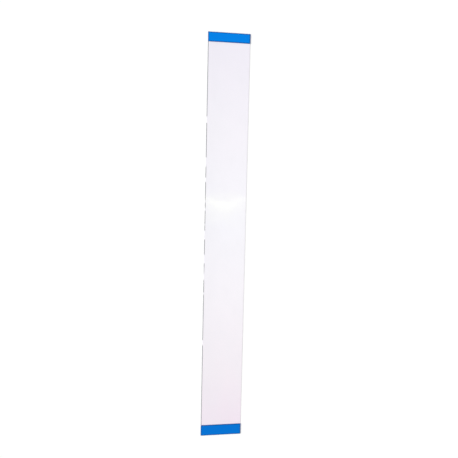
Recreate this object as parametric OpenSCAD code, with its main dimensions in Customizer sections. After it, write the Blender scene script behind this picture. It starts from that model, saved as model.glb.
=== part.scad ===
// Flat flex cable, lying flat. Its length runs along Y, its width along X, and Z is up.
// Flat tinned conductors are laminated side by side between two white tapes. At each end the lower tape
// is cut back, which bares the conductors on the underside, and a blue stiffener backs them on top.
// The origin is at the middle of the cable, on the surface that it lies on.

/* [Cable] */
// Number of conductors
ways = 40; // [4:1:56]
// Distance between the centres of neighbouring conductors, and from an outer one to the cable's edge
pitch = 0.5; // [0.45:0.05:1.25]
// Length from one cut end to the other
cable_l = 200; // [50:5:300]

/* [Conductors] */
// Width of a conductor
conductor_w = 0.32; // [0.2:0.01:0.4]
// Thickness of a conductor
conductor_t = 0.05; // [0.035:0.005:0.1]
// Size of the bevel that rolling leaves along each long edge of a conductor
rolled_edge = 0.01; // [0.002:0.001:0.015]

/* [Tapes] */
// Thickness of one tape between the conductors, its hot-melt adhesive included
tape_t = 0.06; // [0.05:0.005:0.12]
// How far a tape's outer face stands up over each conductor
rib_h = 0.015; // [0.005:0.005:0.03]
// Width of the slope on each side of such a rib
rib_slope = 0.03; // [0.01:0.005:0.04]

/* [Ends] */
// Thickness that a connector grips, from the bared contacts to the stiffener's top
end_t = 0.3; // [0.25:0.01:0.35]
// Length of a stiffener that is cut through its middle
stiffener_l = 5; // [4.5:0.5:12]
// Length of the bared contacts behind such a stiffener
contact_l = 3.5; // [2:0.25:4.5]
// How far both cuts fall towards the near end, which makes the near end longer and the far end shorter
cut_shift = 0.45; // [-0.5:0.05:0.5]

/* [Hidden] */
cable_w = (ways + 1) * pitch;
near_y = -cable_l / 2;
far_y = cable_l / 2;

// Heights, from the lowest ribs up. The tapes meet halfway up the conductors.
bond_z = rib_h + tape_t;
contact_z = bond_z - conductor_t / 2;
stiffener_z = contact_z + end_t;

// Each end's own lengths
near_stiffener_l = stiffener_l + cut_shift;
far_stiffener_l = stiffener_l - cut_shift;
near_contact_l = contact_l + cut_shift;
far_contact_l = contact_l - cut_shift;

function conductor_x(i) = (i - (ways + 1) / 2) * pitch;
function conductor_name(i) = str("conductor_", i < 10 ? "0" : "", i);

// Upper side of a conductor's outline centred on x, from right to left over its bevelled edges
function conductor_top(x) = [
    [x + conductor_w / 2, conductor_t / 2 - rolled_edge],
    [x + conductor_w / 2 - rolled_edge, conductor_t / 2],
    [x - conductor_w / 2 + rolled_edge, conductor_t / 2],
    [x - conductor_w / 2, conductor_t / 2 - rolled_edge],
];

// Seat that a tape's inner face makes round its half of the conductor centred on x, from right to left
function seat_outline(x) = [
    [x + conductor_w / 2, 0],
    each conductor_top(x),
    [x - conductor_w / 2, 0],
];

// Outline of the rib that a tape makes over the conductor centred on x, from left to right
function rib_outline(x) = [
    [x - conductor_w / 2 - rib_slope, tape_t],
    [x - conductor_w / 2, tape_t + rib_h],
    [x + conductor_w / 2, tape_t + rib_h],
    [x + conductor_w / 2 + rib_slope, tape_t],
];

// A tape's outer face in section, from the left edge to the right one, measured from where the tapes meet
function outer_face() = [
    [-cable_w / 2, tape_t],
    for (i = [1 : ways]) each rib_outline(conductor_x(i)),
    [cable_w / 2, tape_t],
];

// A tape's inner face in section, back from the right edge to the left one
function inner_face() = [
    [cable_w / 2, 0],
    for (i = [ways : -1 : 1]) each seat_outline(conductor_x(i)),
    [-cable_w / 2, 0],
];

// Runs a section along the cable from y0 to y1. The section's height is measured from where the tapes meet.
module run(y0, y1)
    translate([0, y1, bond_z]) rotate([90, 0, 0]) linear_extrude(y1 - y0) children();

module tape_section()
    polygon([each outer_face(), each inner_face()]);

// The stiffener's adhesive fills the hollows between the ribs, so its underside takes their form
module stiffener_section()
    polygon([
        each outer_face(),
        [cable_w / 2, stiffener_z - bond_z],
        [-cable_w / 2, stiffener_z - bond_z],
    ]);

module conductor_section()
    polygon([each conductor_top(0), for (p = conductor_top(0)) -p]);

module upper_tape()
    color([0.95, 0.94, 0.97]) run(near_y, far_y) tape_section();

module lower_tape()
    color([0.90, 0.89, 0.92])
        run(near_y + near_contact_l, far_y - far_contact_l) mirror([0, 1]) tape_section();

module near_stiffener()
    color([0.01, 0.45, 0.84]) run(near_y, near_y + near_stiffener_l) stiffener_section();

module far_stiffener()
    color([0.01, 0.51, 0.90]) run(far_y - far_stiffener_l, far_y) stiffener_section();

module conductor(i)
    color([0.80, 0.80, 0.78]) translate([conductor_x(i), 0, 0]) run(near_y, far_y) conductor_section();

upper_tape();
lower_tape();
near_stiffener();
far_stiffener();
for (i = [1 : ways]) conductor(i);
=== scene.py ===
"""Looks of a flat flex cable that lies flat on a white table.

The cable runs along Y, its width along X, and Z is up. Two white tapes hold flat tinned conductors
side by side between them. At each end the lower tape is cut back, which bares the conductors, and a
blue stiffener backs them on top. Every piece is a closed shell between a lower and an upper face,
each worked out as a grid of points: rows of points along the cable, columns of points across it.
"""
import math

import bpy
import numpy as np
from mathutils import Matrix, Quaternion, Vector


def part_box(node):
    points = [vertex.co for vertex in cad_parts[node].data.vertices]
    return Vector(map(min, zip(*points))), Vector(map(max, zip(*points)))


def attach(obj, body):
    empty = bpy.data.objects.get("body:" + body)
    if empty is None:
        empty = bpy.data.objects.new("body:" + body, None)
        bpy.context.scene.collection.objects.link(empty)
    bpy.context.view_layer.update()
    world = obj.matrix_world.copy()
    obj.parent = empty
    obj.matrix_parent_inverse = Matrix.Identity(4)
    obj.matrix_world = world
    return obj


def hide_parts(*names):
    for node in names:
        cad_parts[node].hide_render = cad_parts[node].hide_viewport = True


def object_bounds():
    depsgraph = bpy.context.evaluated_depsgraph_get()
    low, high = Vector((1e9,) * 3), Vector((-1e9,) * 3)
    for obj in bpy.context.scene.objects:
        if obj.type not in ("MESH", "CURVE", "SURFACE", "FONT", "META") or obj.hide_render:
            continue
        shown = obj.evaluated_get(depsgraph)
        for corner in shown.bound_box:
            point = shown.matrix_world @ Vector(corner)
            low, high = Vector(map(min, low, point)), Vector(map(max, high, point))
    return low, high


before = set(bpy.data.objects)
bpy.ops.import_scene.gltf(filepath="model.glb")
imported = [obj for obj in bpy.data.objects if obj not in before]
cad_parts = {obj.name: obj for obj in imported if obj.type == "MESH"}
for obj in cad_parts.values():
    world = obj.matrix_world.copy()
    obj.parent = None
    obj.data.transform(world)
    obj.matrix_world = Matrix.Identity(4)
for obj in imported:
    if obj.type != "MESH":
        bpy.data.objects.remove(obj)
cad_low, cad_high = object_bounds()

MM = 0.001

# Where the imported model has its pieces
upper_low, upper_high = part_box("upper_tape")
lower_low, lower_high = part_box("lower_tape")
near_low, near_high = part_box("near_stiffener")
far_low, far_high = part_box("far_stiffener")
CONDUCTORS = sorted(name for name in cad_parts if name.startswith("conductor_"))
conductor_boxes = [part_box(name) for name in CONDUCTORS]
first_low, first_high = conductor_boxes[0]

HALF_W = upper_high.x
CABLE_L = upper_high.y - upper_low.y
BOND_Z = lower_high.z
STIFFENER_Z = near_high.z
CONDUCTOR_W = first_high.x - first_low.x
CONDUCTOR_T = first_high.z - first_low.z
CONDUCTOR_X = np.array([(low.x + high.x) / 2 for low, high in conductor_boxes])

# How a tape's outer face stands up over each conductor: the rib's height, the width of its slopes, and
# how far beyond a slope's foot and top the face has one more column, to shade level from there on
RIB_H = 0.015 * MM
RIB_SLOPE = 0.03 * MM
RIB_LEVEL = 0.012 * MM
TAPE_T = BOND_Z - lower_low.z - RIB_H

# Small roundings: a conductor's rolled edges, a tape's slit edges and a stiffener's sheared rim
ROLLED_EDGE = 0.01 * MM
SLIT_EASE = 0.012 * MM
RIM_EASE = 0.03 * MM

# Low waves that the laminating rollers leave in the outer faces
WAVE_DIP = 0.006 * MM
WAVE_COUNT = 7
WAVE_SHORTEST = 14 * MM
WAVE_LONGEST = 60 * MM
WAVE_FADE = 6 * MM
WAVE_SEED = 11

# Rows and columns of the grids
SLOPE_STEPS = 5
ROLLED_STEPS = 6
SLIT_STEPS = 4
EDGE_STEPS = np.array([0.03, 0.06, 0.12, 0.2]) * MM
RIM_STEPS = np.array([0.06, 0.12, 0.3, 0.6]) * MM
TAPE_ROWS = 70
STIFFENER_ROWS = 9

# Faces that meet at more than this are shaded with a sharp edge between them
SHARP_ANGLE = math.radians(40)


# ---------------------------------------------------------------- outlines across the cable

def drop(distance, radius):
    """How far a rounded edge lies below the face at a distance from the edge: a quarter circle,
    radius - sqrt(radius^2 - (radius - distance)^2), and nothing past the radius."""
    inside = np.clip(radius - distance, 0, radius)
    return radius - np.sqrt(radius ** 2 - inside ** 2)


def ease(share):
    """A smooth step from 0 to 1: 3 share^2 - 2 share^3."""
    share = np.clip(share, 0, 1)
    return share ** 2 * (3 - 2 * share)


def quarter(steps):
    """Shares of a radius at which a quarter circle has even steps of angle: 1 - cos(angle)."""
    return 1 - np.cos(np.linspace(0, math.pi / 2, steps))


def mirrored(x, z):
    """A whole outline from its left half, which ends on the middle line: (x, z), then (-x, z) backwards."""
    return np.concatenate([x, -x[-2::-1]]), np.concatenate([z, z[-2::-1]])


def edge_columns():
    """Distances of the columns from a slit edge: through the rounding, then over the flat margin."""
    return np.concatenate([SLIT_EASE * quarter(SLIT_STEPS), EDGE_STEPS])


def across(x, z, edge_z):
    """A face's outline right across the cable, from the left edge to the right one: the left margin,
    the outline (x, z) repeated about each conductor, and the right margin."""
    margin = edge_columns() - HALF_W
    all_x = [margin, (CONDUCTOR_X[:, None] + x).ravel(), -margin[::-1]]
    all_z = [edge_z, np.tile(z, len(CONDUCTOR_X)), edge_z[::-1]]
    return np.concatenate(all_x), np.concatenate(all_z)


def ribbed_outline():
    """A tape's outer face, measured from where the tapes meet. Over a conductor it rises by the rib's
    height along a smooth step, with a level column close to the slope's foot and one close to its top,
    and at the slit edges it is rounded off."""
    slope = np.linspace(-RIB_SLOPE, 0, SLOPE_STEPS)
    from_side = np.concatenate([[slope[0] - RIB_LEVEL], slope, [RIB_LEVEL, CONDUCTOR_W / 2]])
    z = TAPE_T + RIB_H * ease(from_side / RIB_SLOPE + 1)
    return across(*mirrored(from_side - CONDUCTOR_W / 2, z), TAPE_T - drop(edge_columns(), SLIT_EASE))


def rolled_outline():
    """Left half of a conductor's upper side: a quarter circle of the rolled edge, then the flat."""
    share = quarter(ROLLED_STEPS)
    x = np.append(ROLLED_EDGE * share - CONDUCTOR_W / 2, 0)
    z = np.append(CONDUCTOR_T / 2 - drop(ROLLED_EDGE * share, ROLLED_EDGE), CONDUCTOR_T / 2)
    return x, z


def seat_outline():
    """A tape's inner face, measured from where the tapes meet: level, with a seat that fits the upper
    side of each conductor."""
    x, z = rolled_outline()
    x = np.insert(x, 0, -CONDUCTOR_W / 2)
    z = np.insert(z, 0, 0)
    return across(*mirrored(x, z), np.zeros(len(edge_columns())))


def waves(x, y):
    """How far the laminate's outer face lies below its highest level at (x, y). A sum of low sine
    waves in seeded directions, scaled to run from 0 to the dip, faded out towards the stiffeners."""
    draw = np.random.default_rng(WAVE_SEED)
    total = 0
    for _ in range(WAVE_COUNT):
        length = draw.uniform(WAVE_SHORTEST, WAVE_LONGEST)
        heading = draw.uniform(-math.pi, math.pi)
        start = draw.uniform(0, 2 * math.pi)
        along = x * math.cos(heading) + y * math.sin(heading)
        total = total + np.sin(2 * math.pi * along / length + start)
    level = (total / WAVE_COUNT + 1) / 2
    room = np.minimum(y - near_high.y, far_low.y - y) / WAVE_FADE
    return WAVE_DIP * level * ease(room)


# ---------------------------------------------------------------- shells

def grid(x, y, z):
    """Points of a face, as rows along the cable by columns across it, from x by column, y by row and
    z by row and column."""
    z = np.broadcast_to(z, (len(y), len(x)))
    return np.stack([np.broadcast_to(x, z.shape), np.broadcast_to(y[:, None], z.shape), z], axis=2)


def ribbon(first, second):
    """Faces between two lines of points, turned so that they face right of the way from first to
    second when the lines run left to right."""
    return np.stack([first[:-1], first[1:], second[1:], second[:-1]], axis=1)


def shell(name, low, high, finishes, nodes):
    """A closed shell between a lower and an upper face of the same rows and columns. The faces get the
    first finish, and the walls round them, which were slit or cut, get the last. Each point also
    keeps its distance from the nearest edge, in millimetres, for the finish to read."""
    rows, columns, _ = high.shape
    above = np.arange(rows * columns).reshape(rows, columns)
    below = above + rows * columns
    top = np.concatenate([ribbon(a, b) for a, b in zip(above[:-1], above[1:])])
    walls = np.concatenate([
        ribbon(below[0], above[0]),
        ribbon(above[-1], below[-1]),
        ribbon(above[:, 0], below[:, 0]),
        ribbon(below[:, -1], above[:, -1]),
    ])
    faces = np.concatenate([top, top[:, ::-1] + rows * columns, walls])
    points = np.concatenate([high.reshape(-1, 3), low.reshape(-1, 3)])

    mesh = bpy.data.meshes.new(name)
    mesh.vertices.add(len(points))
    mesh.vertices.foreach_set("co", points.astype(np.float32).ravel())
    mesh.loops.add(faces.size)
    mesh.loops.foreach_set("vertex_index", faces.astype(np.int32).ravel())
    mesh.polygons.add(len(faces))
    mesh.polygons.foreach_set("loop_start", np.arange(0, faces.size, 4, dtype=np.int32))
    mesh.update(calc_edges=True)

    for finish in finishes:
        mesh.materials.append(finish)
    is_wall = np.arange(len(faces)) >= 2 * len(top)
    mesh.polygons.foreach_set("material_index", (is_wall * (len(finishes) - 1)).astype(np.int32))
    mesh.shade_smooth()
    mesh.set_sharp_from_angle(angle=SHARP_ANGLE)

    flat = points[:, :2]
    from_edge = np.minimum(flat - flat.min(axis=0), flat.max(axis=0) - flat).min(axis=1)
    kept = mesh.attributes.new("from_edge", "FLOAT", "POINT")
    kept.data.foreach_set("value", (from_edge / MM).astype(np.float32))

    piece = bpy.data.objects.new(name, mesh)
    bpy.context.scene.collection.objects.link(piece)
    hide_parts(*nodes)
    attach(piece, "root")
    return piece


def make_upper_tape(finishes):
    """The upper tape: its seats face down on the conductors and its ribs face up."""
    x, z = ribbed_outline()
    seat_x, seat_z = seat_outline()
    y = np.linspace(upper_low.y, upper_high.y, TAPE_ROWS)
    high = grid(x, y, BOND_Z + z - waves(x, y[:, None]))
    low = grid(seat_x, y, BOND_Z + seat_z)
    return shell("upper_tape_film", low, high, finishes, ["upper_tape"])


def make_lower_tape(finishes):
    """The lower tape: the same section upside down, and shorter, so that it bares the contacts."""
    x, z = ribbed_outline()
    seat_x, seat_z = seat_outline()
    y = np.linspace(lower_low.y, lower_high.y, TAPE_ROWS)
    high = grid(seat_x, y, BOND_Z - seat_z)
    low = grid(x, y, BOND_Z - z + waves(-x, y[:, None]))
    return shell("lower_tape_film", low, high, finishes, ["lower_tape"])


def make_stiffener(name, low_corner, high_corner, finishes):
    """A stiffener: its underside takes the form of the ribs that it is bonded to, and its top is flat
    with a rounded rim."""
    x, z = ribbed_outline()
    rim = np.concatenate([RIM_EASE * quarter(SLIT_STEPS), RIM_STEPS])
    inner = np.linspace(low_corner.y + rim[-1], high_corner.y - rim[-1], STIFFENER_ROWS)
    y = np.concatenate([low_corner.y + rim[:-1], inner, high_corner.y - rim[-2::-1]])
    from_side = HALF_W - np.abs(x)
    from_cut = np.minimum(y - low_corner.y, high_corner.y - y)[:, None]
    high = grid(x, y, STIFFENER_Z - drop(np.minimum(from_side, from_cut), RIM_EASE))
    low = grid(x, y, BOND_Z + z)
    return shell(name + "_film", low, high, finishes, [name])


def make_conductor(node, centre_x, finishes):
    """A conductor: a flat wire with rolled edges, the same above and below."""
    x, z = mirrored(*rolled_outline())
    y = np.array([first_low.y, lower_low.y, lower_high.y, first_high.y])
    high = grid(centre_x + x, y, BOND_Z + z)
    low = grid(centre_x + x, y, BOND_Z - z)
    return shell("tinned_" + node, low, high, finishes, [node])


# ---------------------------------------------------------------- finishes

def linear(*tone):
    """A colour as it looks, from 0 to 255, turned into the linear values that light adds up in."""
    share = np.array(tone) / 255
    value = np.where(share <= 0.04045, share / 12.92, ((share + 0.055) / 1.055) ** 2.4)
    return (*value.tolist(), 1.0)


def add(tree, kind, inputs, **settings):
    """Adds a node, sets it up, and fills its inputs with values or with other nodes' outputs."""
    made = tree.nodes.new(kind)
    for key, value in settings.items():
        setattr(made, key, value)
    for key, value in inputs.items():
        if isinstance(value, bpy.types.NodeSocket):
            tree.links.new(value, made.inputs[key])
        else:
            made.inputs[key].default_value = value
    return made


def arithmetic(tree, operation, first, second):
    """One step of arithmetic on two numbers."""
    return add(tree, "ShaderNodeMath", {0: first, 1: second}, operation=operation).outputs[0]


def blended(tree, factor, first, second):
    """Mixes two colours: all of the first at a factor of 0, and all of the second at 1."""
    return add(tree, "ShaderNodeMix", {0: factor, 6: first, 7: second}, data_type="RGBA").outputs[2]


def spread(tree, value, low, high, to_low=0.0, to_high=1.0, smooth=False):
    """Maps a number from one range to another, and holds it at the ends."""
    inputs = {"Value": value, "From Min": low, "From Max": high, "To Min": to_low, "To Max": to_high}
    kind = "SMOOTHSTEP" if smooth else "LINEAR"
    return add(tree, "ShaderNodeMapRange", inputs, interpolation_type=kind).outputs[0]


def place(tree):
    """The place on the object, in metres."""
    return add(tree, "ShaderNodeTexCoord", {}).outputs["Object"]


def split(tree, where):
    """X and Y of a place."""
    parts = add(tree, "ShaderNodeSeparateXYZ", {0: where})
    return parts.outputs[0], parts.outputs[1]


def grain(tree, where, size, detail=3.0):
    """Noise between 0 and 1. The size is how far apart its blotches lie along X, Y and Z, in metres."""
    scaled = add(tree, "ShaderNodeMapping", {"Vector": where, "Scale": [1 / s for s in size]})
    inputs = {"Vector": scaled.outputs[0], "Scale": 1.0, "Detail": detail}
    return add(tree, "ShaderNodeTexNoise", inputs).outputs["Fac"]


def new_finish(name):
    """An empty finish: the material, its nodes and its main shader."""
    material = bpy.data.materials.new(name)
    material.use_nodes = True
    return material, material.node_tree, material.node_tree.nodes["Principled BSDF"]


def relief(tree, shader, height, strength, depth):
    """Tilts the gloss over a fine relief, from a height between 0 and 1 and its depth in metres."""
    bump = add(tree, "ShaderNodeBump", {"Height": height, "Strength": strength, "Distance": depth})
    tree.links.new(bump.outputs[0], shader.inputs["Normal"])


# Where most of a noise's values lie
MOST_NOISE = (0.3, 0.7)
LOW_DETAIL = 2.0

# Painted tints and brightness of the light on the white film, from the near end to the far one:
# place along the cable, then colour
PAINTED_LIGHT_TINTS = (
    (0.03, (241, 228, 240)),
    (0.16, (244, 237, 244)),
    (0.35, (248, 244, 250)),
    (0.55, (248, 247, 253)),
    (0.75, (247, 244, 251)),
    (0.96, (241, 237, 247)),
)

# Greyer clouds in the laminate, and a painted shade that grows towards the left edge
CLOUD_TONE = linear(237, 236, 242)
CLOUD_SIZE = (8 * MM, 14 * MM, 8 * MM)
CLOUD_FROM, CLOUD_FULL = 0.4, 0.8
CLOUD_STRENGTH = 0.25
PAINTED_SHADE_TONE = linear(230, 231, 237)
PAINTED_SHADE_FROM = 0.3 * HALF_W
PAINTED_SHADE_STRENGTH = 0.17

# Roughness of the film in clear and cloudy places, and how much its lengthwise drawing lines add
FILM_ROUGH, CLOUD_ROUGH = 0.04, 0.06
DRAWN_ROUGH = 0.02
DRAWN_SIZE = (0.4 * MM, 60 * MM, 1 * MM)
FILM_SPECULAR = 0.5
FILM_RELIEF = 0.001 * MM
FILM_RELIEF_SIZE = (0.15 * MM, 0.3 * MM, 0.15 * MM)
FILM_RELIEF_STRENGTH = 0.05

# The margin beyond the last conductor, where the two tapes lie on each other and look greyer, and on the
# left also a painted shadow of the edge: its width, the share of it over which it fades, and its strength
# on the right
MARGIN_W = 0.32 * MM
MARGIN_FADE = 0.2
MARGIN_AND_SHADOW_TONE = linear(135, 136, 140)
MARGIN_RIGHT = 0.02

# The breaks in the painted shadow along the left margin: their length, the noise at which it is gone and
# full, and what is added to the noise beyond a distance from the middle of the cable
BREAK_L = 7 * MM
BREAK_DETAIL = 1.0
BREAK_GONE, BREAK_FULL = 0.42, 0.5
BREAK_LESS = 0.17
BREAK_LESS_FROM, BREAK_LESS_FULL = 0.1 * CABLE_L, 0.4 * CABLE_L


def margin_and_shadow_strength(tree, where, x, y):
    """How strongly the margin greys the film, from 0 to 1: full at the cable's edge, gone at the
    margin's width. It is faint on the right. On the left it is mostly a painted shadow of the edge,
    which comes and goes along the cable and is strongest towards the ends."""
    from_middle = arithmetic(tree, "ABSOLUTE", x, 0.0)
    outside = HALF_W - (1 + MARGIN_FADE) * MARGIN_W
    inside = HALF_W - (1 - MARGIN_FADE) * MARGIN_W
    near_edge = spread(tree, from_middle, outside, inside, smooth=True)

    breaks = grain(tree, where, (CABLE_L, BREAK_L, CABLE_L), BREAK_DETAIL)
    to_end = arithmetic(tree, "ABSOLUTE", y, 0.0)
    fewer = spread(tree, to_end, BREAK_LESS_FROM, BREAK_LESS_FULL, 0.0, BREAK_LESS)
    kept = spread(tree, arithmetic(tree, "ADD", breaks, fewer), BREAK_GONE, BREAK_FULL, smooth=True)
    left = arithmetic(tree, "MULTIPLY", arithmetic(tree, "LESS_THAN", x, 0.0), kept)
    return arithmetic(tree, "MULTIPLY", near_edge, arithmetic(tree, "MAXIMUM", left, MARGIN_RIGHT))


def white_film():
    """Glossy white polyester tape: painted tints of light along its length, cloudy laminate, painted
    shade towards the left edge, greyer slit margins with a painted shadow along the left one, fine
    lengthwise drawing lines in its gloss."""
    material, tree, shader = new_finish("white_polyester_film")
    where = place(tree)
    x, y = split(tree, where)
    # Painted light: tints and brightness of the light along the cable
    ramp = add(tree, "ShaderNodeValToRGB", {0: spread(tree, y, upper_low.y, upper_high.y)})
    stops = ramp.color_ramp.elements
    for share, _ in PAINTED_LIGHT_TINTS[len(stops):]:
        stops.new(share)
    for stop, (share, tone) in zip(stops, PAINTED_LIGHT_TINTS):
        stop.position = share
        stop.color = linear(*tone)

    cloud = grain(tree, where, CLOUD_SIZE)
    cloudiness = spread(tree, cloud, CLOUD_FROM, CLOUD_FULL, 0.0, CLOUD_STRENGTH)
    cloudy = blended(tree, cloudiness, ramp.outputs[0], CLOUD_TONE)
    # Painted shade: the film is darkened towards its left edge
    painted_left_shade = spread(tree, x, -HALF_W, PAINTED_SHADE_FROM, PAINTED_SHADE_STRENGTH, 0.0, smooth=True)
    shaded = blended(tree, painted_left_shade, cloudy, PAINTED_SHADE_TONE)
    # The greyer margin, with a painted shadow of the edge along the left side
    colour = blended(tree, margin_and_shadow_strength(tree, where, x, y), shaded, MARGIN_AND_SHADOW_TONE)
    tree.links.new(colour, shader.inputs["Base Color"])

    drawn = grain(tree, where, DRAWN_SIZE, LOW_DETAIL)
    lines = spread(tree, drawn, *MOST_NOISE, 0.0, DRAWN_ROUGH)
    haze = spread(tree, cloud, *MOST_NOISE, FILM_ROUGH, CLOUD_ROUGH)
    tree.links.new(arithmetic(tree, "ADD", lines, haze), shader.inputs["Roughness"])
    shader.inputs["Specular IOR Level"].default_value = FILM_SPECULAR
    relief(tree, shader, grain(tree, where, FILM_RELIEF_SIZE), FILM_RELIEF_STRENGTH, FILM_RELIEF)
    return material


def cut_face(name, mark_size, dark, light, rough, specular):
    """A slit or sheared face: matt, with the blade's fine upright marks between two tones."""
    material, tree, shader = new_finish(name)
    marks = grain(tree, place(tree), mark_size)
    tree.links.new(blended(tree, marks, dark, light), shader.inputs["Base Color"])
    shader.inputs["Roughness"].default_value = rough
    shader.inputs["Specular IOR Level"].default_value = specular
    return material


SLIT_MARK_SIZE = (0.05 * MM, 0.05 * MM, 0.6 * MM)
SLIT_DARK = linear(205, 204, 208)
SLIT_LIGHT = linear(232, 230, 232)
SLIT_ROUGH = 0.6
SLIT_SPECULAR = 0.5

SHEAR_MARK_SIZE = (0.06 * MM, 0.06 * MM, 0.8 * MM)
SHEAR_DARK = linear(8, 78, 150)
SHEAR_LIGHT = linear(24, 108, 190)
SHEAR_ROUGH = 0.55
SHEAR_SPECULAR = 0.2

# Blue film: its tones at the near and far ends, its clouds, and its rim, darker as a sheared edge and with
# painted shade
BLUE_NEAR = linear(3, 115, 210)
BLUE_FAR = linear(2, 131, 232)
BLUE_CLOUD = linear(16, 110, 222)
BLUE_CLOUD_SIZE = (2.5 * MM, 1.5 * MM, 2 * MM)
BLUE_CLOUD_FROM, BLUE_CLOUD_FULL = 0.35, 0.75
BLUE_CLOUD_STRENGTH = 0.2
BLUE_RIM_AND_SHADE = linear(12, 80, 140)
BLUE_RIM_AND_SHADE_STRENGTH = 0.9

# Distances from the rim, in millimetres as the mesh keeps them, up to which the rim's darker tone and
# painted shade are darkest and at which they have gone
BLUE_RIM_AND_SHADE_FULL, BLUE_RIM_AND_SHADE_GONE = 0.1, 0.65

# The blue film's gloss, its cross-wise scratches and its relief
BLUE_ROUGH, BLUE_SCRATCH_ROUGH = 0.3, 0.4
BLUE_SCRATCH_SIZE = (3 * MM, 0.12 * MM, 1 * MM)
BLUE_SPECULAR = 0.03
BLUE_RELIEF = 0.003 * MM
BLUE_RELIEF_SIZE = (0.2 * MM, 0.2 * MM, 0.2 * MM)
BLUE_RELIEF_STRENGTH = 0.15


def blue_film():
    """Blue polyester stiffener: a little deeper at the near end, cloudy, darker along its sheared rim,
    partly as the rim's own tone and partly as painted shade.
    """
    material, tree, shader = new_finish("blue_polyester_film")
    where = place(tree)
    _, y = split(tree, where)
    body = blended(tree, spread(tree, y, near_low.y, far_high.y), BLUE_NEAR, BLUE_FAR)
    cloud = grain(tree, where, BLUE_CLOUD_SIZE)
    cloudiness = spread(tree, cloud, BLUE_CLOUD_FROM, BLUE_CLOUD_FULL, 0.0, BLUE_CLOUD_STRENGTH)
    cloudy = blended(tree, cloudiness, body, BLUE_CLOUD)
    from_edge = add(tree, "ShaderNodeAttribute", {}, attribute_name="from_edge").outputs["Fac"]
    # Darker rim: the sheared edge's own tone together with painted shade
    rim = spread(tree, from_edge, BLUE_RIM_AND_SHADE_FULL, BLUE_RIM_AND_SHADE_GONE, BLUE_RIM_AND_SHADE_STRENGTH, 0.0, smooth=True)
    tree.links.new(blended(tree, rim, cloudy, BLUE_RIM_AND_SHADE), shader.inputs["Base Color"])

    scratch = grain(tree, where, BLUE_SCRATCH_SIZE, LOW_DETAIL)
    rough = spread(tree, scratch, *MOST_NOISE, BLUE_ROUGH, BLUE_SCRATCH_ROUGH)
    tree.links.new(rough, shader.inputs["Roughness"])
    shader.inputs["Specular IOR Level"].default_value = BLUE_SPECULAR
    relief(tree, shader, grain(tree, where, BLUE_RELIEF_SIZE), BLUE_RELIEF_STRENGTH, BLUE_RELIEF)
    return material


TIN_DARK = linear(196, 195, 190)
TIN_LIGHT = linear(228, 226, 220)
TIN_BLOTCH_SIZE = (0.5 * MM, 1.2 * MM, 0.5 * MM)
ROLLED_SIZE = (0.03 * MM, 4 * MM, 0.03 * MM)
TIN_BRIGHT, TIN_DULL = 0.22, 0.38
TIN_RELIEF = 0.002 * MM
TIN_RELIEF_STRENGTH = 0.2


def tinned_copper():
    """Bright tin over rolled copper: lengthwise rolling lines and soft grey blotches."""
    material, tree, shader = new_finish("tinned_copper")
    where = place(tree)
    blotch = grain(tree, where, TIN_BLOTCH_SIZE)
    tree.links.new(blended(tree, blotch, TIN_DARK, TIN_LIGHT), shader.inputs["Base Color"])
    rolled = grain(tree, where, ROLLED_SIZE, LOW_DETAIL)
    tree.links.new(spread(tree, rolled, *MOST_NOISE, TIN_BRIGHT, TIN_DULL), shader.inputs["Roughness"])
    shader.inputs["Metallic"].default_value = 1.0
    relief(tree, shader, rolled, TIN_RELIEF_STRENGTH, TIN_RELIEF)
    return material


# ---------------------------------------------------------------- stage, light and camera

SKY_LIGHT = 0.5
SUN_LIGHT = 0.5
SUN_HEIGHT = math.radians(36)
SUN_TURN = math.radians(178)
SUN_WIDTH = math.radians(12)

FLOOR_SIZE = 4.0
FLOOR_GAP = 0.002 * MM
FLOOR_WHITE = 0.93
FLOOR_LIFT = 0.09

CAMERA_PLACE = Vector((-43.7, 32.3, 274.1)) * MM
CAMERA_AIM = Vector((1.99, 5.72, 0.0)) * MM
CAMERA_ROLL = math.radians(1.32)
CAMERA_LENS = 44.33
CAMERA_SENSOR = 36.0

# The ring lamp: the parts of its tube and of the haze round it, each by the place on the film, in
# millimetres, that mirrors it to the camera, the width and height it has there, how far it is turned in
# degrees, and how bright it is
LAMP_AWAY = 0.35
TUBE_TONE = (0.9, 1.0, 0.5)
TUBE_PARTS = (
    ((-9.2, 21.3), (3.6, 1.2), -35, 3.0),
    ((-6.5, 19.3), (4.6, 1.6), -30, 3.4),
    ((-2.4, 17.7), (5.4, 2.4), -6, 3.6),
    ((2.4, 17.9), (5.4, 2.4), 8, 3.6),
    ((6.2, 19.8), (4.6, 2.6), 24, 2.0),
    ((9.0, 21.0), (3.0, 2.0), 15, 1.6),
)
HAZE_TONE = (0.85, 1.0, 0.14)
HAZE_PARTS = (
    ((0.5, 18.9), (21.0, 10.0), 0, 0.76),
    ((-5.0, 14.4), (15.0, 11.0), 0, 0.7),
    ((5.0, 12.5), (11.0, 12.0), 0, 0.34),
)


def seen_or_mirrored(tree):
    """1 for what the camera, a gloss or a clear piece looks at, and 0 for the light itself."""
    path = add(tree, "ShaderNodeLightPath", {})
    looks = arithmetic(tree, "MAXIMUM", path.outputs["Is Camera Ray"], path.outputs["Is Glossy Ray"])
    return arithmetic(tree, "MAXIMUM", looks, path.outputs["Is Transmission Ray"])


def make_surroundings():
    """A white room: white where it is looked at or mirrored, and an even, dimmer light otherwise."""
    world = bpy.data.worlds.new("white_room")
    world.use_nodes = True
    tree = world.node_tree
    background = tree.nodes["Background"]
    strength = spread(tree, seen_or_mirrored(tree), 0.0, 1.0, SKY_LIGHT, 1.0)
    background.inputs["Color"].default_value = (1.0, 1.0, 1.0, 1.0)
    tree.links.new(strength, background.inputs["Strength"])
    bpy.context.scene.world = world


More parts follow.
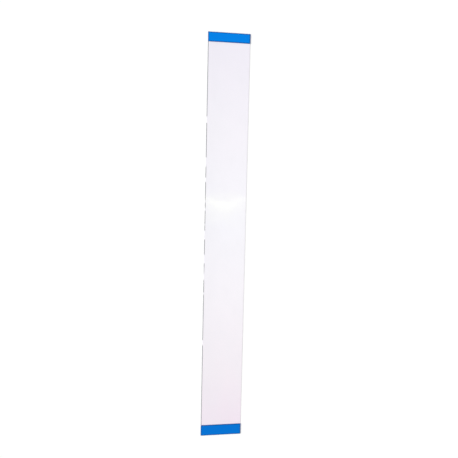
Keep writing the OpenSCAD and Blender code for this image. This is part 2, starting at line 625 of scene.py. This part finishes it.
def make_floor():
    """A level white table under the cable. It keeps the cable's shadow, and the camera sees the rest
    of it as plain white."""
    material = bpy.data.materials.new("white_table")
    material.use_nodes = True
    tree = material.node_tree
    tree.nodes.remove(tree.nodes["Principled BSDF"])
    matt = add(tree, "ShaderNodeBsdfDiffuse", {"Color": (FLOOR_WHITE,) * 3 + (1.0,)})
    lift = arithmetic(tree, "MULTIPLY", seen_or_mirrored(tree), FLOOR_LIFT)
    glow = add(tree, "ShaderNodeEmission", {"Strength": lift})
    both = add(tree, "ShaderNodeAddShader", {0: matt.outputs[0], 1: glow.outputs[0]})
    tree.links.new(both.outputs[0], tree.nodes["Material Output"].inputs["Surface"])

    side = FLOOR_SIZE / 2
    level = cad_low.z - FLOOR_GAP
    corners = [(-side, -side, level), (side, -side, level), (side, side, level), (-side, side, level)]
    mesh = bpy.data.meshes.new("table")
    mesh.from_pydata(corners, [], [(0, 1, 2, 3)])
    mesh.materials.append(material)
    floor = bpy.data.objects.new("table", mesh)
    bpy.context.scene.collection.objects.link(floor)


def put(name, data, location, ahead, roll=0.0):
    """Puts a lamp or camera at a place, looking ahead, with its own up side turned to the cable's far
    end and then rolled."""
    ahead = ahead.normalized()
    right = ahead.cross(Vector((0, 1, 0))).normalized()
    level = Matrix((right, right.cross(ahead), -ahead)).transposed().to_quaternion()
    thing = bpy.data.objects.new(name, data)
    thing.location = location
    thing.rotation_mode = "QUATERNION"
    thing.rotation_quaternion = level @ Quaternion((0, 0, 1), roll)
    bpy.context.scene.collection.objects.link(thing)
    return thing


def make_sun():
    """A wide light from the left, which the gloss doesn't mirror."""
    light = bpy.data.lights.new("window_light", "SUN")
    light.energy = SUN_LIGHT * math.pi / math.sin(SUN_HEIGHT)
    light.angle = SUN_WIDTH
    level = math.cos(SUN_HEIGHT)
    to_lamp = Vector((level * math.cos(SUN_TURN), level * math.sin(SUN_TURN), math.sin(SUN_HEIGHT)))
    put("window_light", light, to_lamp, -to_lamp).visible_glossy = False


def make_ring_lamp():
    """The near half of a ring lamp and the haze round it, which the film mirrors to the camera as a
    bright bow. Each part is an ellipse that faces the film from where the camera sees it mirrored. It is
    larger than the size it has on the film in the ratio of their distances from the camera, and its power
    is its brightness times pi times its area."""
    parts = [(part, TUBE_TONE) for part in TUBE_PARTS] + [(part, HAZE_TONE) for part in HAZE_PARTS]
    for number, ((at, (width, height), turn, bright), tone) in enumerate(parts):
        mirrored_at = Vector((at[0] * MM, at[1] * MM, upper_high.z))
        ray = mirrored_at - CAMERA_PLACE
        scale = (ray.length + LAMP_AWAY) / ray.length * MM
        turned_up = Vector((ray.x, ray.y, -ray.z)).normalized()
        name = "ring_lamp_%d" % number
        light = bpy.data.lights.new(name, "AREA")
        light.shape = "ELLIPSE"
        light.size = width * scale
        light.size_y = height * scale
        light.color = tone
        area = math.pi / 4 * light.size * light.size_y
        light.energy = bright * math.pi * area
        put(name, light, mirrored_at + turned_up * LAMP_AWAY, -turned_up, math.radians(turn))


def make_camera():
    """A camera above the cable, a little to its left, that looks down along its whole length."""
    data = bpy.data.cameras.new("camera")
    data.lens = CAMERA_LENS
    data.sensor_width = CAMERA_SENSOR
    data.clip_start = 10 * MM
    bpy.context.scene.camera = put("camera", data, CAMERA_PLACE, CAMERA_AIM - CAMERA_PLACE, CAMERA_ROLL)


# ---------------------------------------------------------------- the cable

bpy.context.scene.view_settings.view_transform = "Standard"
make_camera()

film_cut = cut_face("slit_film_edge", SLIT_MARK_SIZE, SLIT_DARK, SLIT_LIGHT, SLIT_ROUGH, SLIT_SPECULAR)
blue_cut = cut_face(
    "sheared_blue_edge", SHEAR_MARK_SIZE, SHEAR_DARK, SHEAR_LIGHT, SHEAR_ROUGH, SHEAR_SPECULAR
)
film = [white_film(), film_cut]
blue = [blue_film(), blue_cut]
tin = [tinned_copper()]

upper_tape = make_upper_tape(film)
lower_tape = make_lower_tape(film)
near_stiffener = make_stiffener("near_stiffener", near_low, near_high, blue)
far_stiffener = make_stiffener("far_stiffener", far_low, far_high, blue)
for node, centre_x in zip(CONDUCTORS, CONDUCTOR_X):
    make_conductor(node, centre_x, tin)

make_surroundings()
make_floor()
make_sun()
make_ring_lamp()
